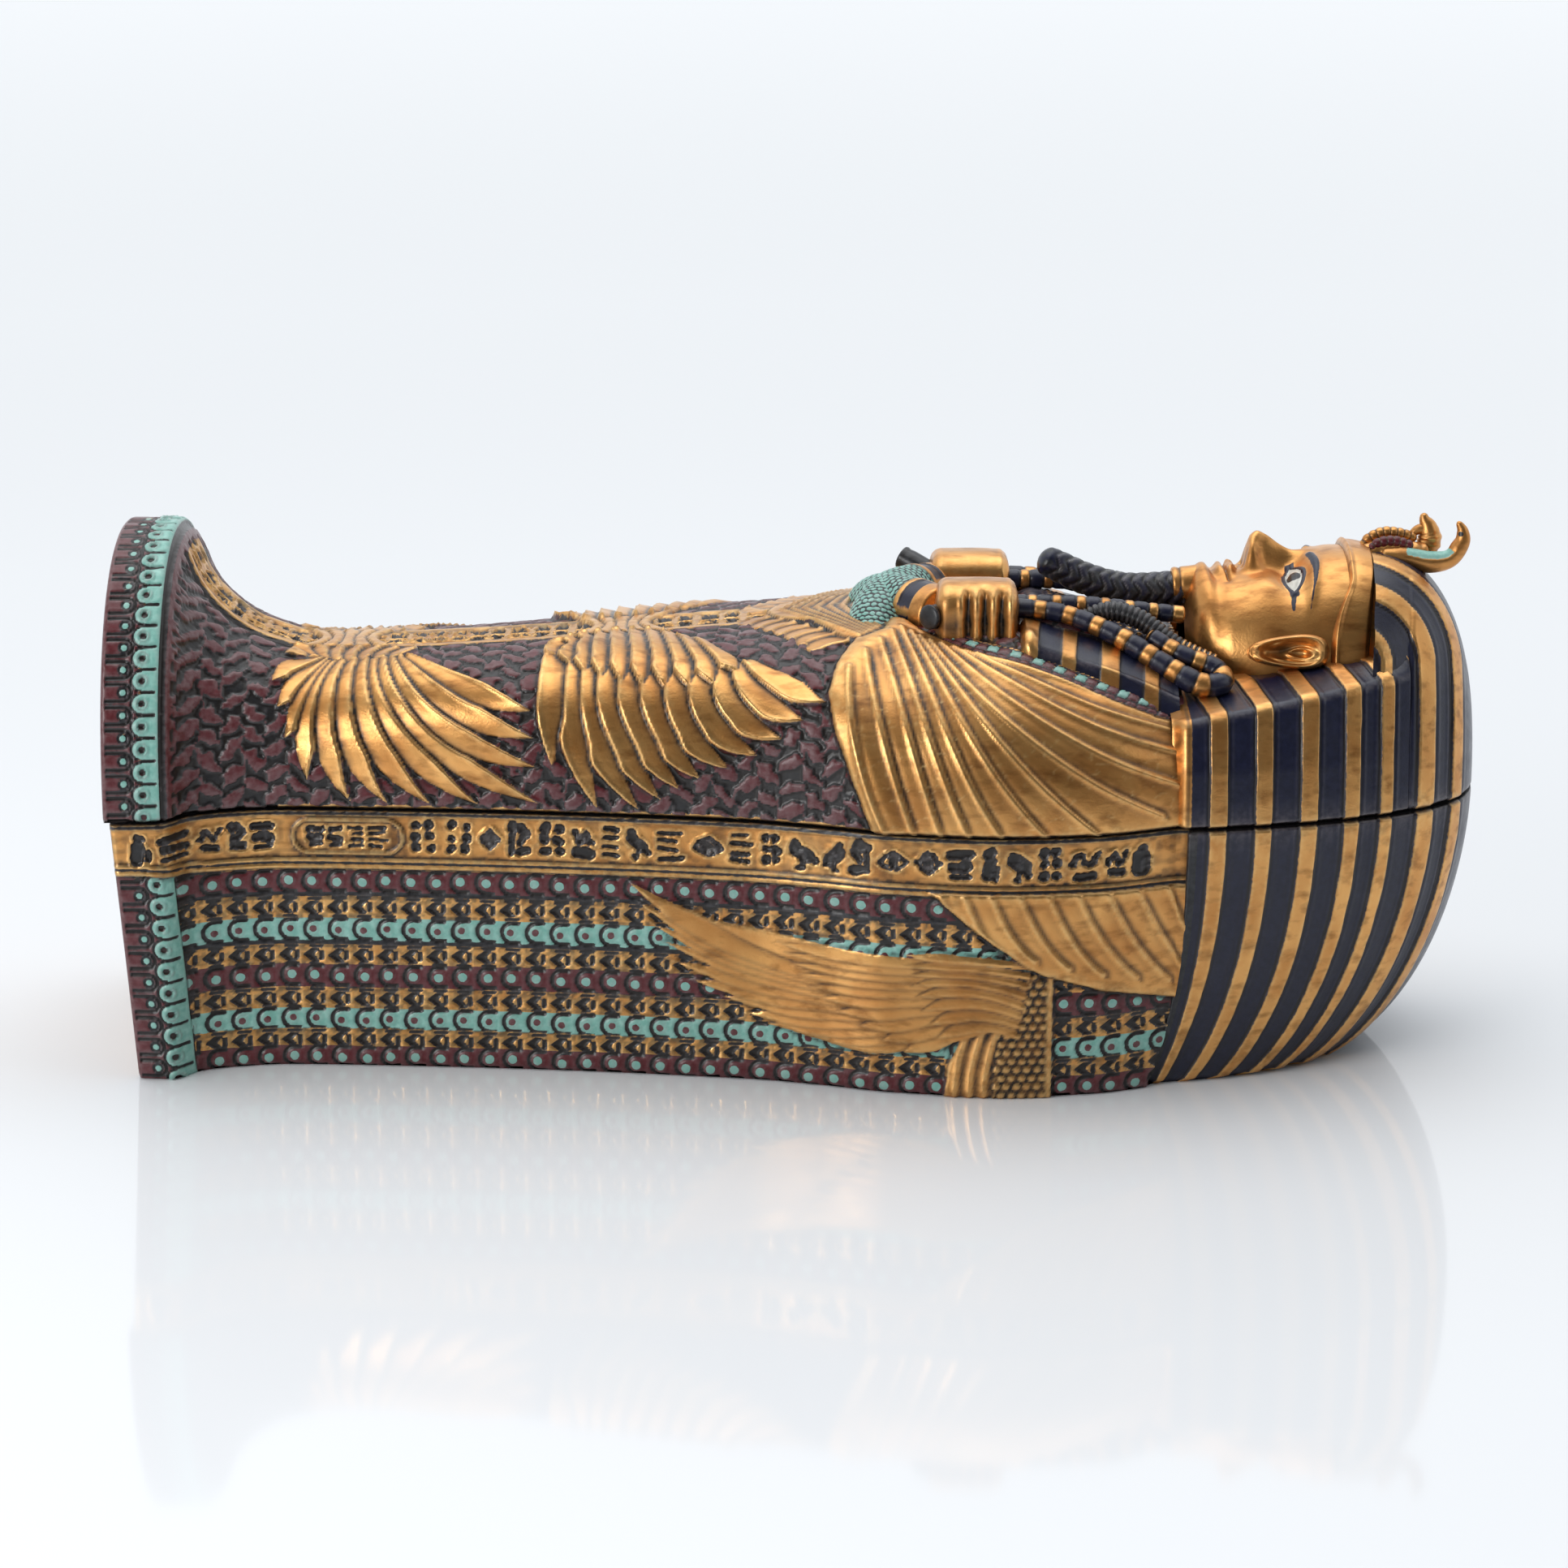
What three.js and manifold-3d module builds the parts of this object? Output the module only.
// A souvenir coffin box in cast resin: an open base, and a lift-off lid that carries
// the lying figure of a king with crossed arms, head cloth, beard, crook and flail.
// Millimetres. +X runs from the feet to the head, +Z is up, and the origin is on the
// ground under the middle of the box.
import * as THREE from 'three';
import { mergeVertices } from 'three/addons/utils/BufferGeometryUtils.js';
import Module from 'manifold-3d';

const wasm = await Module();
wasm.setup();

// ---------------------------------------------------------------- driving sizes
const END = 115.9;            // foot face and crown, from the middle
const SEAM = 45.6;            // height where the lid meets the base
const SEAM_GAP = 0.3;         // clearance between the two castings
const WALL = 4;               // side walls
const FLOOR = 5;              // bottom of the base
const SOLE_ROUND = 0.7;       // softened lower edge of the base
const FOOT_BLOCK = 9.2;       // length of the upright foot block
const FOOT_TOP = 90.2;        // top of the foot block
const FOOT_POWER = 2.2;       // squareness of its arched section
const FOOT_SET = 1;           // the base is set back this far under the lid's foot face
const FOOT_RAKE = 2.4;        // and leans in this much more towards the ground
const CLOTH_X = 63.6;         // front edge of the head cloth at the seam
const CLOTH_HALF = 37.4;      // half-width of the head cloth there
const CLOTH_TAPER = 0.17;     // loss of half-width per millimetre towards the crown
const CLOTH_POWER = 2.8;      // roundness of the crown seen from above
const CLOTH_LEAN = 4;         // the base is this much narrower at the ground
const CLOTH_SWEEP = 6;        // and its front edge sweeps this far to the feet
const CROWN_X = 92;           // where the round back of the head meets the ground
const CROWN_POWER = 1.9;
const CLOTH_BEVEL = 2.6;      // length of the slanted front border of the cloth
const CLOTH_EDGE = 63;        // height of the outer ridge of the head cloth
const CLOTH_INNER = 20;       // half-width at the inner edge, beside the neck
const CLOTH_RISE = 0.15;      // slope of the ridge towards the crown
const CLOTH_BATTER = 3.4;     // the wall under the ridge leans in by this much
const CLOTH_SLOPE = 4.2;      // rise from the ridge to the neck
const DOME_X = 94.5;          // the dome of the head cloth starts behind the brow
const DOME_LOW = 50;          // widest level of the dome
const DOME_TOP = 85.4;
const DOME_POWER = 2.3;       // its fall towards the crown
const DOME_SQUARE = 2.15;     // its section across
const STRIPE_RELIEF = 0.5;    // the gold stripes stand proud of the blue ones
const WING_RELIEF = 1;        // the folded wings stand proud of the body
const CHIN_X = 65.6;
const LIPS_X = 71.4;          // the lower lip; the upper one follows towards the nose
const LIPS_STEP = 2;
const NOSE_X = 77.4;          // tip of the nose
const NOSE_LENGTH = 8.5;
const NOSE_RISE = 5.6;
const EYES_X = 83.5;
const EYES_Y = 6.4;
const BROW_X = 97;
const FACE_HALF = 17.4;
const FACE_LOW = 62;          // the head is buried in the cloth below this level
const BODY_STEPS = 20;        // facets over the body, from rim to rim
const LAPPET_X = 36.5;        // lower end of the pleated ends of the head cloth
const LAPPET_HALF = 6;
const LAPPET_Y = 18.6;        // their distance from the middle there
const LAPPET_SPLAY = 0.13;    // growth of that distance towards the head
const LAPPET_RISE = 2.6;      // their thickness over the breast
const HAND_Z = 76;            // level of the fists, one lying a little over the other
const HAND_STEP = 0.2;
const HAND_RISE = 6.9;        // half their height
const SKIN = 0xc08a35;
const BASE_GOLD = 0x8a6226;

// ---------------------------------------------------------------- small helpers
const clamp = (value, low, high) => Math.min(Math.max(value, low), high);
const bell = (distance, width) => Math.exp(-((distance / width) ** 2));
const roundOff = (part, power) => Math.max(0, 1 - clamp(part, 0, 1) ** power) ** (1 / power);

// A smooth curve through a few [place, value] knots, without overshoot.
function curve(knots) {
  const slope = knots.slice(1).map((k, i) => (k[1] - knots[i][1]) / (k[0] - knots[i][0]));
  const tangent = knots.map((k, i) => {
    if (i === 0) return slope[0];
    if (i === knots.length - 1) return slope[i - 1];
    if (slope[i - 1] * slope[i] <= 0) return 0;
    return (2 * slope[i - 1] * slope[i]) / (slope[i - 1] + slope[i]);
  });
  return (place) => {
    const at = clamp(place, knots[0][0], knots[knots.length - 1][0]);
    let i = 0;
    while (i < knots.length - 2 && at > knots[i + 1][0]) i += 1;
    const span = knots[i + 1][0] - knots[i][0];
    const t = (at - knots[i][0]) / span;
    const start = knots[i][1] * (1 + 2 * t) * (1 - t) ** 2 + span * tangent[i] * t * (1 - t) ** 2;
    const end = knots[i + 1][1] * t * t * (3 - 2 * t) + span * tangent[i + 1] * t * t * (t - 1);
    return start + end;
  };
}

const spread = (from, to, count) =>
  Array.from({ length: count + 1 }, (_, i) => from + ((to - from) * i) / count);

// A closed body from rings of equal length, with a fan over each end ring.
function loft(rings) {
  const size = rings[0].length;
  const points = rings.flat();
  const faces = [];
  for (let r = 0; r < rings.length - 1; r += 1) {
    for (let i = 0; i < size; i += 1) {
      const a = r * size + i;
      const b = r * size + ((i + 1) % size);
      faces.push(a, b, b + size, a, b + size, a + size);
    }
  }
  const capEnd = (ring, offset, flip) => {
    const middle = new THREE.Vector3();
    ring.forEach((p) => middle.addScaledVector(p, 1 / size));
    points.push(middle);
    for (let i = 0; i < size; i += 1) {
      const a = offset + i;
      const b = offset + ((i + 1) % size);
      faces.push(points.length - 1, flip ? b : a, flip ? a : b);
    }
  };
  capEnd(rings[0], 0, true);
  capEnd(rings[rings.length - 1], (rings.length - 1) * size, false);
  const geometry = new THREE.BufferGeometry();
  const numbers = points.flatMap((p) => p.toArray());
  geometry.setAttribute('position', new THREE.Float32BufferAttribute(numbers, 3));
  geometry.setIndex(faces);
  return geometry;
}

function solid(geometry) {
  const bare = geometry.clone();
  bare.deleteAttribute('normal');
  bare.deleteAttribute('uv');
  const merged = mergeVertices(bare, 1e-4);
  const mesh = new wasm.Mesh({
    numProp: 3,
    vertProperties: Float32Array.from(merged.attributes.position.array),
    triVerts: Uint32Array.from(merged.index.array),
  });
  mesh.merge();
  const body = new wasm.Manifold(mesh);
  return body.volume() < 0 ? solid(flipped(geometry)) : body;
}

function flipped(geometry) {
  const turned = geometry.clone();
  const index = Array.from(turned.index.array);
  for (let i = 0; i < index.length; i += 3) [index[i + 1], index[i + 2]] = [index[i + 2], index[i + 1]];
  turned.setIndex(index);
  return turned;
}

// A cross-section standing on the level `low`: up one side, over the top, down the other.
function archRing(x, half, low, top, power, steps, lift = () => 0) {
  const ring = [];
  for (let i = 0; i <= steps; i += 1) {
    const angle = (Math.PI * i) / steps;
    const across = Math.sign(Math.cos(angle)) * Math.abs(Math.cos(angle)) ** (2 / power);
    const up = Math.abs(Math.sin(angle)) ** (2 / power);
    const y = half * across;
    const z = low + (top - low) * up;
    const normal = new THREE.Vector2(across / half, up / (top - low)).normalize();
    const rise = lift(x, y, z);
    const onRim = i === 0 || i === steps;
    ring.push(new THREE.Vector3(x, y + normal.x * rise, z + (onRim ? 0 : normal.y * rise)));
  }
  return ring;
}

// A round bar along a smooth route of [x, y, z, radius] stations.
function bar(route, sides, steps) {
  const path = new THREE.CatmullRomCurve3(route.map((p) => new THREE.Vector3(p[0], p[1], p[2])));
  const girth = curve(route.map((p, i) => [i, p[3]]));
  const frames = path.computeFrenetFrames(steps, false);
  const rings = spread(0, 1, steps).map((t, k) => {
    const centre = path.getPoint(t);
    const radius = girth(t * (route.length - 1));
    return Array.from({ length: sides }, (_, i) => {
      const angle = (2 * Math.PI * i) / sides;
      return centre.clone()
        .addScaledVector(frames.normals[k], radius * Math.cos(angle))
        .addScaledVector(frames.binormals[k], radius * Math.sin(angle));
    });
  });
  return solid(loft(rings));
}

function ball(x, y, z, rx, ry, rz) {
  const shape = new THREE.SphereGeometry(1, 8, 5);
  shape.scale(rx, ry, rz);
  shape.translate(x, y, z);
  return solid(shape);
}

// ---------------------------------------------------------------- plan and height
const sideHalf = curve([
  [-END, 33.4], [-END + FOOT_BLOCK, 32.6], [-102.5, 27.6], [-97, 25], [-88, 23.5], [-66.6, 24.5],
  [-39, 27], [-9.3, 31.5], [3.4, 35.4], [14.7, 39.3], [33, 41.8], [48, 40.3], [62, 35.2],
]);
const bodyTop = curve([
  [-END + FOOT_BLOCK, 89.6], [-105.3, 87.6], [-102.7, 81.2], [-99.3, 76.6], [-94.1, 72.5], [-90.7, 71],
  [-83, 69], [-70, 69.2], [-40, 70.8], [-14, 72.8], [12, 74.8], [33, 75.5], [48, 72.5], [64, 69],
]);
const bodyPower = curve([
  [-END + FOOT_BLOCK, FOOT_POWER], [-100, 2.5], [-90, 3], [-60, 3.1], [-20, 3.6], [20, 2.6], [64, 2.5],
]);

// Height of the body's upper surface over a point of the plan.
function bodyZ(x, y) {
  return SEAM + (bodyTop(x) - SEAM) * roundOff(Math.abs(y) / sideHalf(x), bodyPower(x));
}

const sideLean = curve([[-END, 3], [-95, 0], [-20, 0.2], [15, 1.6], [64, 1.6]]);

const crownAt = (z) => CROWN_X + (END - CROWN_X) * roundOff(1 - z / SEAM, CROWN_POWER);
const clothFrontAt = (z) => CLOTH_X - CLOTH_SWEEP * (1 - z / SEAM) ** 3;
const clothHalf = (along, z) => {
  const length = crownAt(z) - clothFrontAt(z);
  const straight = CLOTH_HALF - CLOTH_LEAN * (1 - z / SEAM) - CLOTH_TAPER * length * along;
  return straight * roundOff(along, CLOTH_POWER);
};

// Shares of the head cloth's length where each gold stripe starts and ends.
const STRIPES = [
  0.066, 0.123, 0.214, 0.268, 0.36, 0.418, 0.505, 0.557, 0.625, 0.669, 0.754, 0.816, 0.88, 0.922,
];
function stripeRelief(along) {
  const span = STRIPES.filter((s) => s < along).length;
  return span % 2 === 1 ? STRIPE_RELIEF : 0;
}
const stripeStations = STRIPES.flatMap((s) => [s - 0.004, s + 0.004]);

// ---------------------------------------------------------------- wings on the lid
// Outlines of the folded wings on one side, as places along the body and heights.
const WINGS = [
  [[-88, 70], [-75, 71], [-45, 65], [-41, 46], [-76, 46], [-85, 56]],
  [[-44, 72], [-28, 76], [-7, 73], [4, 66], [-7, 57], [-24, 46], [-36, 46]],
  [[14, 78], [6, 72], [4, 62], [10, 46], [66, 46], [66, 58], [40, 70], [26, 76]],
];

function inside(outline, x, z) {
  let hit = false;
  outline.forEach((a, i) => {
    const b = outline[(i + 1) % outline.length];
    if ((a[1] > z) !== (b[1] > z) && x < ((b[0] - a[0]) * (z - a[1])) / (b[1] - a[1]) + a[0]) hit = !hit;
  });
  return hit;
}

function wingLift(x, y, z) {
  const clear = Math.abs(y) > 9;
  return clear && WINGS.some((outline) => inside(outline, x, z)) ? WING_RELIEF : 0;
}

// ---------------------------------------------------------------- base
// The outline at one level, shrunk by `inset` for the walls of the hollow.
function baseRing(z, inset) {
  const share = z / SEAM;
  const front = clothFrontAt(z);
  const foot = -END + FOOT_SET + FOOT_RAKE * (1 - share) + inset;
  const back = crownAt(z) - inset;
  const block = -END + FOOT_BLOCK + inset;
  const places = [foot, block, block + 2, block + 4.5, block + 8, ...spread(block + 13, front - 2.6, 21)];
  const side = places.map((x) => [x, sideHalf(x) - sideLean(x) * (1 - share) - inset]);
  [0, ...stripeStations, 0.96, 0.985, 0.9995].forEach((along) => {
    const relief = inset > 0 ? 0 : stripeRelief(along) * roundOff(along, 4);
    const half = clothHalf(along, z) * (1 - inset / (CLOTH_HALF * roundOff(0.8, CLOTH_POWER)));
    side.push([front + (back - front) * along, half + relief]);
  });
  const near = side.map(([x, y]) => new THREE.Vector3(x, -y, z));
  const far = side.map(([x, y]) => new THREE.Vector3(x, y, z)).reverse();
  return [...near, ...far];
}

function makeBase() {
  const rim = SEAM - SEAM_GAP / 2;
  const softened = (ring, by) =>
    ring.map((p) => new THREE.Vector3(p.x * (1 - by / END), p.y * (1 - by / CLOTH_HALF), p.z));
  const sole = softened(baseRing(0, 0), SOLE_ROUND);
  const outer = [1.2, 6, 15, 28, rim].map((z) => baseRing(z, 0));
  const hollow = [rim, 24, FLOOR + 2].map((z) => baseRing(z, WALL));
  const inside = softened(baseRing(FLOOR, WALL), 2);
  return solid(loft([sole, ...outer, ...hollow, inside]));
}

// ---------------------------------------------------------------- lid
const LOW = SEAM + SEAM_GAP / 2;

function footBlock() {
  const rings = [[0, 1.2], [0.8, 0.3], [3, 0], [FOOT_BLOCK, 0]].map(([depth, rounding]) => {
    const x = -END + depth;
    return archRing(x, sideHalf(x) - rounding / 2, LOW, FOOT_TOP - rounding, FOOT_POWER, BODY_STEPS);
  });
  return solid(loft(rings));
}

function bodyShell() {
  const rings = spread(-END + FOOT_BLOCK - 0.5, CLOTH_X + 2, 36).map((x) =>
    archRing(x, sideHalf(x) - 0.4 * (x < -END + FOOT_BLOCK), LOW, bodyTop(x), bodyPower(x), BODY_STEPS, wingLift));
  return solid(loft(rings));
}

// The flat side wings of the head cloth: a wall, a ridge, and a slope up to the neck.
function clothSlab() {
  const places = [-CLOTH_BEVEL / (END - CLOTH_X), 0, ...stripeStations.filter((a) => a < 0.74), 0.76];
  const rings = places.map((a) => {
    const x = CLOTH_X + (END - CLOTH_X) * a;
    const relief = a < 0 ? -2 : stripeRelief(a);
    const low = clothHalf(Math.max(a, 0), SEAM) + relief;
    const ridge = CLOTH_EDGE + (x - CLOTH_X) * CLOTH_RISE;
    const half = low - CLOTH_BATTER;
    const inner = [Math.min(CLOTH_INNER, half - 3), ridge + CLOTH_SLOPE + relief];
    const side = [[low, LOW], [low - 0.8, 55], [half, ridge], inner];
    const near = side.map(([y, z]) => new THREE.Vector3(x, -y, z));
    const far = side.map(([y, z]) => new THREE.Vector3(x, y, z)).reverse();
    return [...near, ...far];
  });
  return solid(loft(rings));
}

function clothDome() {
  const start = (DOME_X - CLOTH_X) / (END - CLOTH_X);
  const behind = stripeStations.filter((a) => a > start + 0.01);
  const places = [start, ...behind, 0.96, 0.985, 0.9995];
  const rings = places.map((a) => {
    const x = CLOTH_X + (END - CLOTH_X) * a;
    const share = roundOff((x - DOME_X) / (END + 0.1 - DOME_X), DOME_POWER);
    const top = Math.max(DOME_LOW + (DOME_TOP - DOME_LOW) * share, LOW + 3);
    const half = Math.max(clothHalf(a, SEAM), 1.2) + stripeRelief(a) * share;
    return archRing(x, half, LOW, top, DOME_SQUARE, 16);
  });
  return solid(loft(rings));
}

function lidHollow() {
  const top = curve([
    [-112, 80], [-104, 74], [-97, 67], [-88, 63.6], [-40, 66.6], [12, 71], [48, 67], [70, 61], [112, 61],
  ]);
  const power = curve([[-112, 3.6], [0, 3], [112, 3.6]]);
  const half = (x) => {
    if (x < CLOTH_X) return sideHalf(x) - WALL;
    return clothHalf((x - CLOTH_X) / (END - CLOTH_X), SEAM) - WALL;
  };
  const rings = spread(-END + WALL + 0.6, END - WALL - 6, 20).map((x) => {
    const ring = archRing(x, half(x), LOW, top(x), power(x), 8);
    const skirt = [new THREE.Vector3(x, -half(x), LOW - 4), new THREE.Vector3(x, half(x), LOW - 4)];
    return [...ring, ...skirt];
  });
  return solid(loft(rings));
}

// ---------------------------------------------------------------- head
const faceTop = curve([
  [CHIN_X, 76], [66.6, 81.6], [69.4, 84], [72.6, 83.4], [75.8, 85.6], [78.6, 85], [84, 85],
  [88, 86.2], [93, 86], [BROW_X, 85.6],
]);
const faceHalf = curve([
  [CHIN_X, 8], [68, 12.4], [73, 15.6], [80, FACE_HALF], [92, 17.6], [BROW_X, 17.2],
]);

function faceLift(x, y) {
  const ridge = x < NOSE_X ? bell(x - NOSE_X, 1.3) : clamp(1 - (x - NOSE_X) / NOSE_LENGTH, 0, 1);
  const width = x < NOSE_X + 1.5 ? 2.9 : 1.9;
  const nose = NOSE_RISE * ridge * bell(y, width);
  const eyes = [-EYES_Y, EYES_Y].map((side) => bell(x - EYES_X, 2.4) * bell(y - side, 3.4));
  const mouth = bell(x - LIPS_X, 0.9) + bell(x - LIPS_X - LIPS_STEP, 0.9);
  const lips = 0.8 * bell(y, 4.2) * mouth;
  return nose - 1.1 * (eyes[0] + eyes[1]) + lips;
}

function face() {
  const rings = spread(CHIN_X, BROW_X, 20).map((x) => {
    const ring = archRing(x, faceHalf(x), FACE_LOW, faceTop(x), 2.4, 18);
    return ring.map((p) => new THREE.Vector3(p.x, p.y, p.z > 70 ? p.z + faceLift(p.x, p.y) : p.z));
  });
  return solid(loft(rings));
}

function browBand() {
  const rings = [93.2, 94, 96.6, 97.6].map((x, i) => {
    const rise = i === 1 || i === 2 ? 0.9 : 0.2;
    return archRing(x, 17.5 + rise, FACE_LOW, 86 + rise, 2.4, 14);
  });
  return solid(loft(rings));
}

const ear = (side) => {
  const rim = bar([
    [76, 16.6, 70, 1.1], [79, 17.8, 67.6, 1.3], [84, 18.4, 67.4, 1.2], [88, 18.6, 69.6, 1.2],
    [88, 18.2, 72.4, 1], [85, 17.2, 73, 0.9],
  ].map(([x, y, z, r]) => [x, y * side, z, r]), 5, 10);
  return rim.add(ball(81.5, 17.2 * side, 70, 5.2, 1.6, 2.8));
};

function beard() {
  const plait = bar([
    [40.8, 0, 84, 2.3], [43.2, 0, 82.8, 2.6], [49.3, 0, 80, 2.75], [56, 0, 78.3, 2.85], [66, 0, 78.6, 3],
  ], 8, 12);
  const strap = bar([[63.4, 0, 79, 3.1], [66.8, 0, 79.2, 3.2], [69.4, 0, 79.6, 3.2]], 10, 2);
  return plait.add(strap);
}

// A vulture and a rearing cobra side by side on the brow.
function browCrest() {
  const vulture = bar([
    [95.4, 0.6, 84.2, 1.8], [99.4, 0.8, 86, 2.1], [103, 1, 85.8, 2.2], [107.2, 1.8, 85.6, 2.1],
    [107.8, 1.8, 88.6, 1.6], [107, 1.8, 91, 0.7],
  ], 7, 11);
  const cobra = bar([
    [97, -1.6, 84.4, 1.5], [100, -2.1, 85.2, 1.7], [103.8, -2.5, 84.4, 1.9], [107.4, -2.7, 83.8, 2],
    [110.7, -2.7, 84.4, 1.75], [112.7, -2.7, 86.9, 1.4], [111.9, -2.7, 90.4, 0.6],
  ], 7, 12);
  return vulture.add(cobra);
}

// ---------------------------------------------------------------- arms and regalia
const handLevel = (side) => HAND_Z - side * HAND_STEP;

const forearm = (side) => bar([
  [11.6, -13 * side, 69, 4], [12.4, -10 * side, 71.6, 4.8], [13.6, -5 * side, 74.4, 5.2],
  [16.8, 2.5 * side, 76.2, 5.1], [23.8, 11.6 * side, handLevel(side), 4.5],
], 8, 7);

// A closed fist around a rod that lies along the body: a palm and four fingers.
function fist(side) {
  const palm = solid(loft(spread(22.6, 36.2, 2).map((x) => {
    const ring = [];
    for (let i = 0; i < 12; i += 1) {
      const angle = (2 * Math.PI * i) / 12;
      const y = Math.sign(Math.cos(angle)) * Math.abs(Math.cos(angle)) ** 0.7 * 6.2;
      const z = Math.sign(Math.sin(angle)) * Math.abs(Math.sin(angle)) ** 0.7 * HAND_RISE;
      ring.push(new THREE.Vector3(x, 13.4 * side + y, handLevel(side) + z));
    }
    return ring;
  })));
  return [0, 1, 2, 3].reduce((hand, i) =>
    hand.add(ball(24.6 + 3.3 * i, 16.4 * side, handLevel(side), 1.75, 4.2, HAND_RISE - 0.3)), palm);
}

// The crook: a butt at the heel of the fist, then a drooping stem with a round hook.
const crook = (side) => bar([
  [21, 18.4 * side, 77.4, 2.1], [26, 13.4 * side, 77, 2], [35, 13.6 * side, 78, 1.7],
  [41, 14.2 * side, 77.7, 1.6], [46, 15.6 * side, 76.8, 1.6], [53, 18.6 * side, 74.2, 1.8],
  [60, 22.2 * side, 70.4, 1.9], [66, 24.6 * side, 67.4, 2.1], [70, 23.6 * side, 67.4, 2],
  [69, 21.2 * side, 69.2, 1.9], [63.4, 20.2 * side, 71.4, 1.7], [58, 17.6 * side, 74.2, 1.6],
], 6, 18);

const shaft = (side) => bar([
  [35, 10.4 * side, 78, 1.6], [46, 10.6 * side, 77.8, 1.7], [54, 10.6 * side, 77.2, 1.6],
  [65, 10.2 * side, 76, 1.5],
], 6, 3);

// A beaded strand lying between the two.
const strand = (side) => bar([
  [47.5, 13 * side, 76.2, 1.4], [52, 13.4 * side, 77.2, 1.7], [57, 14.6 * side, 76, 1.75],
  [63, 17 * side, 72.2, 1.7], [69.6, 18.4 * side, 69.4, 1.5],
], 6, 5);

// A pleated end of the head cloth hanging over the breast.
const lappet = (side) => {
  const rings = spread(LAPPET_X, CLOTH_X - 1.5, 7).map((x) => {
    const spine = LAPPET_Y + (x - LAPPET_X) * LAPPET_SPLAY;
    const half = LAPPET_HALF + Math.max(0, x - 50) * 0.12;
    const profile = [[-1, -0.6], [-0.93, 2], [0, LAPPET_RISE], [0.93, 2], [1, -0.6], [0, -3]];
    return profile.map(([share, rise]) => {
      const y = spine + share * half;
      return new THREE.Vector3(x, y * side, bodyZ(x, y) + rise);
    });
  });
  return solid(loft(rings));
};

function makeLid() {
  const shell = footBlock().add(bodyShell()).add(clothSlab()).add(clothDome());
  const box = shell.subtract(lidHollow());
  const trimmings = [
    face(), browBand(), beard(), browCrest(), ear(-1), ear(1), forearm(-1), forearm(1), fist(-1), fist(1),
    crook(-1), crook(1), shaft(-1), shaft(1), strand(-1), strand(1), lappet(-1), lappet(1),
  ];
  return trimmings.reduce((whole, piece) => whole.add(piece), box);
}

// ---------------------------------------------------------------- the two castings
function toMesh(body, name, color) {
  const data = body.getMesh();
  const geometry = new THREE.BufferGeometry();
  geometry.setAttribute('position', new THREE.BufferAttribute(Float32Array.from(data.vertProperties), 3));
  geometry.setIndex(Array.from(data.triVerts));
  geometry.computeVertexNormals();
  const material = new THREE.MeshStandardMaterial({ color, roughness: 0.45, metalness: 0.6 });
  const mesh = new THREE.Mesh(geometry, material);
  mesh.name = name;
  return mesh;
}

const coffin = new THREE.Group();
coffin.add(toMesh(makeBase(), 'base', BASE_GOLD));
coffin.add(toMesh(makeLid(), 'lid', SKIN));

export default coffin;
